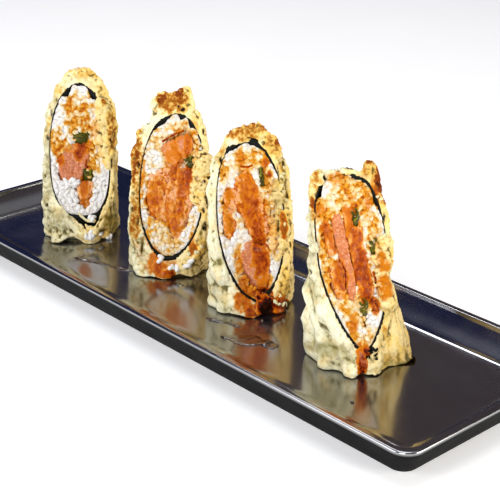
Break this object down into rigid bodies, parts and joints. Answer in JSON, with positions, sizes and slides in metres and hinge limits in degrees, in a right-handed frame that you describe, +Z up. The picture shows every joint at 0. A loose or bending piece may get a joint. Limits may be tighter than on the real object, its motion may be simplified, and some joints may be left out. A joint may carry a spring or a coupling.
{
  "type": "spicy tuna tempura roll on a plate",
  "caption": "Battered and fried sushi roll halves, cut on a steep slant to show rice, seaweed, tuna and spicy filling, standing in a row on a long dark plate.",
  "frame": {"origin": "on the table under the middle of the plate", "axes": "+X along the plate towards its near end, +Z up, and the slanted cuts look towards -Y and +X"},
  "size_m": [0.36, 0.122, 0.0984],
  "materials": {
    "plate_glaze": "dark slate blue glaze, satin, with soft blurred reflections",
    "fried_batter": "pale golden fried batter, craggy, with browned tips",
    "nori": "near black seaweed sheet, slightly glossy",
    "sushi_rice": "moist white rice, partly stained orange by sauce",
    "raw_tuna": "moist pink flesh with a glossy sauce film",
    "spicy_tuna_mix": "chopped tuna in a glossy orange-red sauce",
    "scallion": "moist dark olive green"
  },
  "bodies": {
    "root": {"plate": "plate_glaze", "batter_crust_1": "fried_batter", "nori_1": "nori", "scallion_1_1": "scallion", "scallion_1_2": "scallion", "tuna_1": "raw_tuna", "spicy_tuna_1": "spicy_tuna_mix", "rice_1": "sushi_rice", "batter_crust_2": "fried_batter", "nori_2": "nori", "scallion_2": "scallion", "tuna_2": "raw_tuna", "spicy_tuna_2": "spicy_tuna_mix", "rice_2": "sushi_rice", "batter_crust_3": "fried_batter", "nori_3": "nori", "scallion_3": "scallion", "tuna_3": "raw_tuna", "spicy_tuna_3_1": "spicy_tuna_mix", "spicy_tuna_3_2": "spicy_tuna_mix", "rice_3": "sushi_rice", "batter_crust_4": "fried_batter", "nori_4": "nori", "scallion_4_1": "scallion", "scallion_4_2": "scallion", "scallion_4_3": "scallion", "tuna_4": "raw_tuna", "spicy_tuna_4_1": "spicy_tuna_mix", "spicy_tuna_4_2": "spicy_tuna_mix", "spicy_tuna_4_3": "spicy_tuna_mix", "rice_4": "sushi_rice"}
  },
  "joints": []
}
